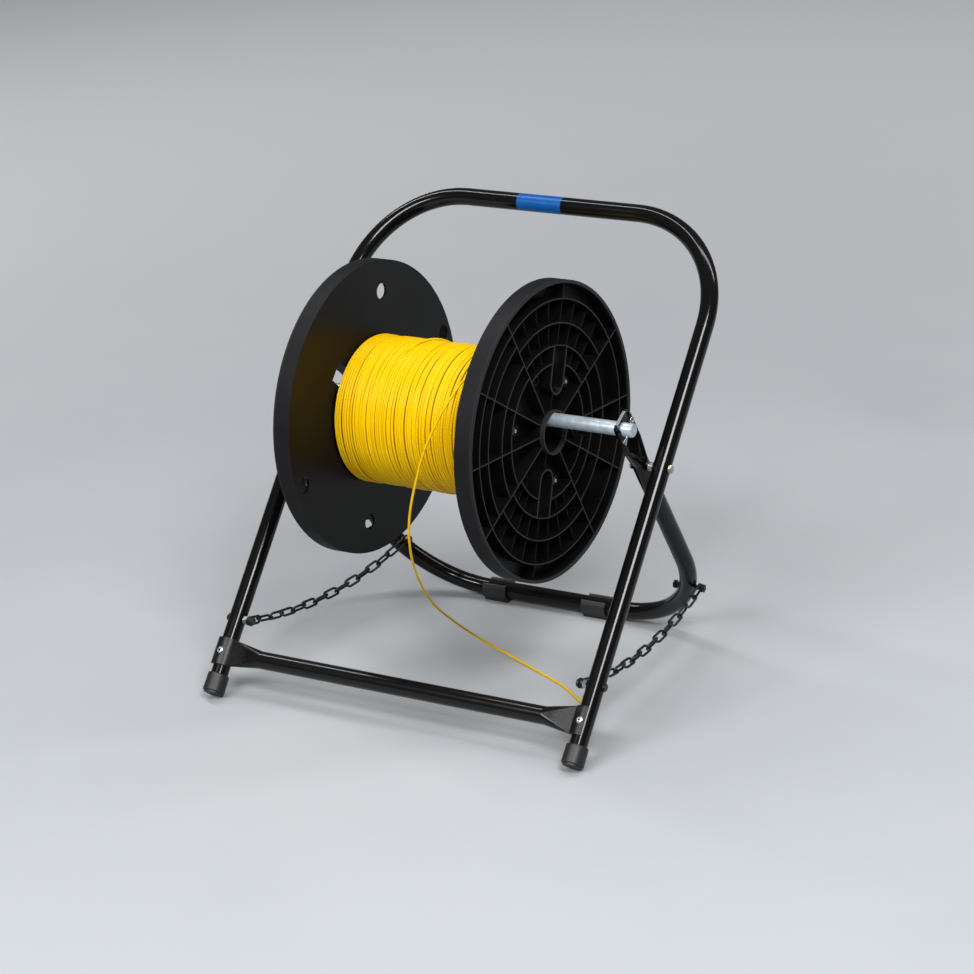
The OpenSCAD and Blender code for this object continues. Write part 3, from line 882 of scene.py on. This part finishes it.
@dataclass
class Stand:
    """The tube frames with their feet, glides, bolts and rivets, and the axle rod with its pins."""

    paint: Paint

    def dress(self) -> None:
        """Puts the finishes on the stand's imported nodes."""
        for name in ("front_tube", "rear_tube"):
            self.paint.node(name, Finish.ENAMEL)
        self.paint.node("crossbar", Finish.SADDLE)
        self.paint.node("crossbar_rivets", Finish.BRIGHT)
        for side in ("left", "right"):
            self.paint.node(f"foot_tip_{side}", Finish.RUBBER)
            self.paint.node(f"glide_{side}", Finish.TRIM)
            self.paint.node(f"cotter_pin_{side}", Finish.ZINC)
        for name in ("pivot_bolts", "pivot_spacers", "chain_nuts_front"):
            self.paint.node(name, Finish.ZINC)
        for name in ("chain_bolts_front", "chain_bolts_rear", "chain_nuts_rear"):
            self.paint.node(name, Finish.CHAIN)
        self.paint.node("pivot_nuts", Finish.YELLOW_ZINC)
        self.paint.node("chain_caps_front", Finish.TRIM)
        self.paint.node("axle_rod", Finish.ROD)


@dataclass
class HandleLabel:
    """A film label wrapped round the handle bar.

    Attributes:
        paint: The finishes.
        x0: Its left edge.
        x1: Its right edge.
        bar: The middle of the handle bar.
        tube_r: The bar's radius.
        film: The film's thickness.
        wrap: How far round the bar it reaches, in degrees.
        steps: How many facets it has round the bar.
    """

    paint: Paint
    x0: float = -0.0471
    x1: float = 0.0178
    bar: Point = (0.0, 0.233503, 0.529119)
    tube_r: float = 0.0111
    film: float = 0.00003
    wrap: float = 300.0
    steps: int = 60

    def build(self) -> None:
        """Rolls the film round the bar and leaves its seam underneath."""
        bm = bmesh.new()
        start = Vector((self.x0, self.bar[1], self.bar[2] - self.tube_r - self.film))
        bmesh.ops.create_vert(bm, co=start)
        run = bmesh.ops.extrude_vert_indiv(bm, verts=bm.verts[:])
        bmesh.ops.translate(bm, vec=(self.x1 - self.x0, 0, 0), verts=run["verts"])
        seam = Matrix.Rotation(math.radians(180.0 - self.wrap / 2), 3, "X")
        bmesh.ops.rotate(bm, cent=self.bar, matrix=seam, verts=bm.verts[:])
        bmesh.ops.spin(
            bm, geom=bm.edges[:], cent=self.bar, axis=(1, 0, 0), angle=math.radians(self.wrap),
            steps=self.steps, use_merge=False,
        )
        bmesh.ops.recalc_face_normals(bm, faces=bm.faces)
        piece = as_object(bm, "handle_label")
        self.paint.piece(piece, Finish.LABEL, "frame_paint")
        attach(piece, Body.FRONT.value)
        log.info("label built")


# Where each chain is bolted to a front leg and to a rear corner, in metres in the row frame.
LEFT_CHAIN_ENDS = ((-0.2441, -0.1686427, 0.082489), (-0.203549, 0.1276518, 0.0822918))
RIGHT_CHAIN_ENDS = ((0.2441, -0.1686427, 0.082489), (0.238749, 0.1276518, 0.0822918))


@dataclass
class Chain:
    """One side's chain: rigid links along a shallow sag, its first link on the front frame and its
    last on the rear.

    Attributes:
        paint: The finishes.
        side: The side's name.
        ends: Its front and its rear end.
        sag: How far its middle hangs below the line between its ends.
        twist: How far its middle is twisted, in degrees.
        count: How many links it has.
        wire: The radius of a link's wire.
        bend: The radius of a link's round ends, at the wire's middle line.
        play: How far two links can slide on each other.
        sides: How many corners the wire has, and how many steps a round end has.
        steps: In how many steps the sag is measured.
        nudge: The part of the span, each way, over which the sag's direction is taken.
        reach: How long each link's blend is.
    """

    paint: Paint
    side: str
    ends: tuple[Point, Point]
    sag: float
    twist: float
    count: int = 15
    wire: float = 0.0016
    bend: float = 0.0046
    play: float = 0.0003
    sides: int = 12
    steps: int = 400
    nudge: float = 1e-4
    reach: float = 4.0

    def at(self, t: float) -> Vector:
        """The point at a share t of the span."""
        a, b = Vector(self.ends[0]), Vector(self.ends[1])
        return a.lerp(b, t) - Vector((0, 0, 4 * self.sag * t * (1 - t)))

    def lengths(self) -> list[float]:
        """Measures the sag step by step.

        Returns:
            How far along it each step begins, and its whole length.
        """
        run = [0.0]
        for i in range(self.steps):
            step = self.at((i + 1) / self.steps) - self.at(i / self.steps)
            run.append(run[-1] + step.length)
        return run

    def pitch(self, length: float) -> float:
        """The distance between links that fills the sag.

        Args:
            length: The sag's length.

        Returns:
            The distance between two links' centres.
        """
        return (length + 2 * (self.bend - self.wire) - self.play) / self.count

    def spots(self, run: Sequence[float]) -> list[tuple[float, Vector, Vector]]:
        """Where the links lie.

        Args:
            run: How far along the sag each step begins, and its whole length.

        Returns:
            For each link, its share of the span, its centre and its direction.
        """
        pitch = self.pitch(run[-1])
        first = (run[-1] - (self.count - 1) * pitch) / 2
        found = []
        for k in range(self.count):
            want = first + k * pitch
            i = max(j for j in range(self.steps) if run[j] <= want)
            t = (i + (want - run[i]) / (run[i + 1] - run[i])) / self.steps
            way = self.at(t + self.nudge) - self.at(t - self.nudge)
            found.append((t, self.at(t), way.normalized()))
        return found

    def link(self, name: str, half: float) -> bpy.types.Object:
        """One link, long way along Y, flat side facing X.

        Args:
            name: The link's name.
            half: Half the length of its straight sides.

        Returns:
            The link.
        """
        sweep = Sweep((0, -half, self.bend), (0, 1, 0), self.wire, self.sides)
        sweep.straight((0, 2 * half, 0)).turn((0, half, 0), (1, 0, 0), -math.pi, self.sides)
        sweep.straight((0, -2 * half, 0)).turn((0, -half, 0), (1, 0, 0), -math.pi, self.sides)
        return sweep.finish(name)

    def follow(self, piece: bpy.types.Object, k: int, centre: Vector) -> None:
        """Puts the first link on the front frame and the last on the rear, and bakes each middle
        link's place into its mesh.

        For a middle link the ends of a blend are worked out, so much longer than the link that all
        of the link would get one share, with the inverse of the blend's smooth step saying how far
        along it that share lies; they are not used.

        Args:
            piece: The link.
            k: Its number from the front.
            centre: Its centre.
        """
        if k == 0:
            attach(piece, Body.FRONT.value)
        elif k == self.count - 1:
            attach(piece, Body.REAR.value)
        else:
            share = k / (self.count - 1)
            place = 0.5 - math.sin(math.asin(1 - 2 * share) / 3)
            start = centre - Vector((place * self.reach, 0, 0))
            end = start + Vector((self.reach, 0, 0))
            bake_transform(piece)

    def build(self) -> None:
        """Builds the links, turns every second one and hangs them along the sag."""
        run = self.lengths()
        half = (self.pitch(run[-1]) + self.play) / 2 - (self.bend - self.wire)
        for k, (t, centre, way) in enumerate(self.spots(run)):
            piece = self.link(f"chain_{self.side}_link_{k + 1:02d}", half)
            yaw = Matrix.Rotation(-math.atan2(way.x, way.y), 4, "Z")
            rise = Matrix.Rotation(math.asin(way.z), 4, "X")
            roll = math.radians(90 * (k % 2) + self.twist * math.sin(math.pi * t))
            place = Matrix.Translation(centre) @ yaw @ rise
            piece.data.transform(place @ Matrix.Rotation(roll, 4, "Y"))
            self.paint.piece(piece, Finish.CHAIN, "chain_black")
            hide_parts(f"chain_{self.side}")
            self.follow(piece, k, centre)
        log.info("chain %s built: %d links", self.side, self.count)


@dataclass
class Reel:
    """The reel's flanges, drum and tie bolts."""

    paint: Paint

    def dress(self) -> None:
        """Puts the finishes on the reel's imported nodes."""
        for name in ("reel_flange_left", "reel_flange_right", "reel_core"):
            self.paint.node(name, Finish.REEL)
        for name in ("tie_bolts", "tie_nuts"):
            self.paint.node(name, Finish.ZINC)


@dataclass
class Winding:
    """The cable wound on the drum: one close layer in bands, crossed by a few strands.

    Attributes:
        paint: The finishes.
        strand: The cable's radius.
        layer_r: The radius of the layer, at the cable's middle line.
        half_w: Half the layer's width.
        turns: How many turns the layer has.
        steps: How many points a turn has.
        bands: How many bands the turns lie in.
        dip: How far the cable sinks between two bands.
        dip_half_w: How far from there the cable begins to sink.
        gaps: The distances from turn to turn, of which each turn draws one, set against each other.
        knots: How many errors each turn draws.
        stray: The largest error along the axis.
        sink_share: The largest error inwards, as a share of stray.
        rise_share: The largest error outwards, as a share of stray.
        end_w: How near a flange the errors along the axis fade.
        lift: How far a crossing strand lies above the layer.
        slope: The share of its length over which a crossing strand rises.
        core_inset: How far the ring under the layer, painted dark as the shade between turns, lies
            below the cable's middle line.
        seed: Where the random draws begin.
        crossings: Where each crossing strand begins and ends.
    """

    paint: Paint
    strand: float = 0.0017
    layer_r: float = 0.091
    half_w: float = 0.116
    turns: int = 66
    steps: int = 96
    bands: int = 9
    dip: float = 0.0008
    dip_half_w: float = 0.0022
    gaps: tuple[float, ...] = (0.9, 0.91, 0.92, 0.94, 0.97, 1.25, 1.5)
    knots: int = 6
    stray: float = 0.0009
    sink_share: float = 1.3
    rise_share: float = 0.4
    end_w: float = 0.004
    lift: float = 0.0023
    slope: float = 0.25
    core_inset: float = 0.0014
    seed: int = 7
    crossings: tuple[tuple[ReelSpot, ReelSpot], ...] = (
        ((0.108, 60.0), (0.071, 330.0)),
        ((0.062, 150.0), (0.086, 255.0)),
        ((-0.03, 40.0), (-0.05, 120.0)),
        ((0.02, 300.0), (0.05, 420.0)),
    )

    def spot(self, x: float, radius: float, angle: float) -> Point:
        """A point round the reel's axis.

        Args:
            x: Place along the axis, from the reel's middle.
            radius: Distance from the axis.
            angle: Angle round the axis, in radians, from +Y towards +Z.

        Returns:
            The point in the row frame.
        """
        x0, y0, z0 = REEL_CENTRE
        return (x0 + x, y0 + radius * math.cos(angle), z0 + radius * math.sin(angle))

    def layer(self, rng: random.Random) -> list[Point]:
        """Winds the close turns from flange to flange, each with its own small errors.

        Args:
            rng: The seeded source of small changes.

        Returns:
            The layer's points.
        """
        gaps = [rng.choice(self.gaps) for _ in range(self.turns)]
        places = [-self.half_w]
        for gap in gaps:
            places.append(places[-1] + gap * 2 * self.half_w / sum(gaps))
        count = self.turns * self.knots + 2
        low, high = -self.sink_share * self.stray, self.rise_share * self.stray
        strays = [rng.uniform(-self.stray, self.stray) for _ in range(count)]
        rises = [rng.uniform(low, high) for _ in range(count)]
        band_w = 2 * self.half_w / self.bands
        points = []
        for i in range(self.turns * self.steps):
            turn = i / self.steps
            k, knot, share = int(turn), int(turn * self.knots), turn * self.knots % 1.0
            # From knot to knot the strand's errors change smoothly.
            share *= share * (3 - 2 * share)
            stray, rise = (v[knot] + (v[knot + 1] - v[knot]) * share for v in (strays, rises))
            x = places[k] + (places[k + 1] - places[k]) * (turn % 1.0)
            x += stray * min(1.0, (self.half_w - abs(x)) / self.end_w)
            # It sinks a little between two bands and at the flanges.
            off = abs((x / band_w + 0.5 * (self.bands + 1)) % 1.0 - 0.5) * band_w
            sink = self.dip * max(0.0, 1 - off / self.dip_half_w)
            points.append(self.spot(x, self.layer_r + rise - sink, turn * 2 * math.pi))
        return points

    def crossing(self, start: ReelSpot, end: ReelSpot) -> list[Point]:
        """A strand laid over the layer, sinking to it at both ends.

        Args:
            start: Where it begins.
            end: Where it ends.

        Returns:
            The strand's points.
        """
        count = int(abs(end[1] - start[1]) / 360 * self.steps)
        points = []
        for i in range(count + 1):
            share = i / count
            up = min(1.0, share / self.slope, (1 - share) / self.slope)
            up *= up * (3 - 2 * up)
            x, angle = (a + (b - a) * share for a, b in zip(start, end))
            points.append(self.spot(x, self.layer_r + self.lift * up, math.radians(angle)))
        return points

    def build(self) -> None:
        """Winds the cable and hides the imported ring."""
        runs = [self.layer(random.Random(self.seed))]
        runs += [self.crossing(start, end) for start, end in self.crossings]
        piece = as_mesh(curve_piece("wound_cable", runs, self.strand))
        # The ring under the layer carries the painted shade seen between turns.
        core = bmesh.new()
        turn = Matrix.Translation(REEL_CENTRE) @ Matrix.Rotation(math.pi / 2, 4, "Y")
        radius = self.layer_r - self.core_inset
        bmesh.ops.create_cone(
            core, cap_ends=False, segments=self.steps, radius1=radius, radius2=radius,
            depth=2 * self.half_w, matrix=turn,
        )
        inner = as_object(core, "wound_cable_inner")
        for made, finish in ((piece, Finish.JACKET), (inner, Finish.SHADE)):
            self.paint.piece(made, finish, "cable_jacket")
            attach(made, Body.REEL.value)
        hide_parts("cable_winding")
        log.info("winding built: %d runs", len(runs))


@dataclass
class FreeCable:
    """The cable's free end, from the winding over the front and down to the floor.

    Attributes:
        paint: The finishes.
        radius: The cable's radius.
        smooth: How many points lie between two of the route's.
        route: The points that it runs through, in millimetres.
    """

    paint: Paint
    radius: float = 0.0015
    smooth: int = 8
    route: tuple[Point, ...] = (
        (100, -14, 427.1), (100, -60, 431), (99, -105, 436.5), (96, -138, 435.5), (86, -158, 416),
        (76, -169, 396), (66, -177, 374), (56, -182, 350), (44, -184, 316), (33, -184, 282),
        (24, -180, 248), (16, -169, 212), (7, -150, 180), (-4, -121, 142), (-13, -88, 106),
        (-17, -49, 70), (-6, -12, 32), (30, 4, 6), (86, -17, 1.5), (126, -36, 1.5),
        (153, -53, 1.5), (177, -71, 1.5), (195, -86, 1.5),
    )

    def line(self) -> list[Vector]:
        """Leads a smooth line through the route's points and keeps it above the floor.

        Returns:
            The line's points, in metres.
        """
        spots = [Vector(p) / 1000 for p in self.route]
        ends = [spots[0], *spots, spots[-1]]
        found = []
        for p0, p1, p2, p3 in zip(ends, ends[1:], ends[2:], ends[3:]):
            for j in range(self.smooth):
                t = j / self.smooth
                q = 0.5 * (
                    2 * p1 + (p2 - p0) * t + (2 * p0 - 5 * p1 + 4 * p2 - p3) * t * t
                    + (3 * p1 - p0 - 3 * p2 + p3) * t ** 3
                )
                found.append(Vector((q.x, q.y, max(q.z, self.radius))))
        return [*found, spots[-1]]

    def build(self) -> None:
        line = self.line()
        piece = curve_piece("free_cable", [[tuple(p) for p in line]], self.radius)
        self.paint.piece(piece, Finish.JACKET, "cable_jacket")
        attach(piece, Body.REAR.value)
        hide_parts("cable_tail")


def main() -> None:
    """Builds the camera, the cables, the studio and every dressed piece, in that order."""
    logging.basicConfig(level=logging.INFO, format="%(message)s")
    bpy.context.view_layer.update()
    paint = Paint()
    PhotoCamera().build()
    FreeCable(paint).build()
    Winding(paint).build()
    Studio(paint).build()
    Stand(paint).dress()
    HandleLabel(paint).build()
    Chain(paint, "left", LEFT_CHAIN_ENDS, sag=0.020, twist=45.0).build()
    Chain(paint, "right", RIGHT_CHAIN_ENDS, sag=0.022, twist=30.0).build()
    Reel(paint).dress()


if __name__ == "__main__":
    main()
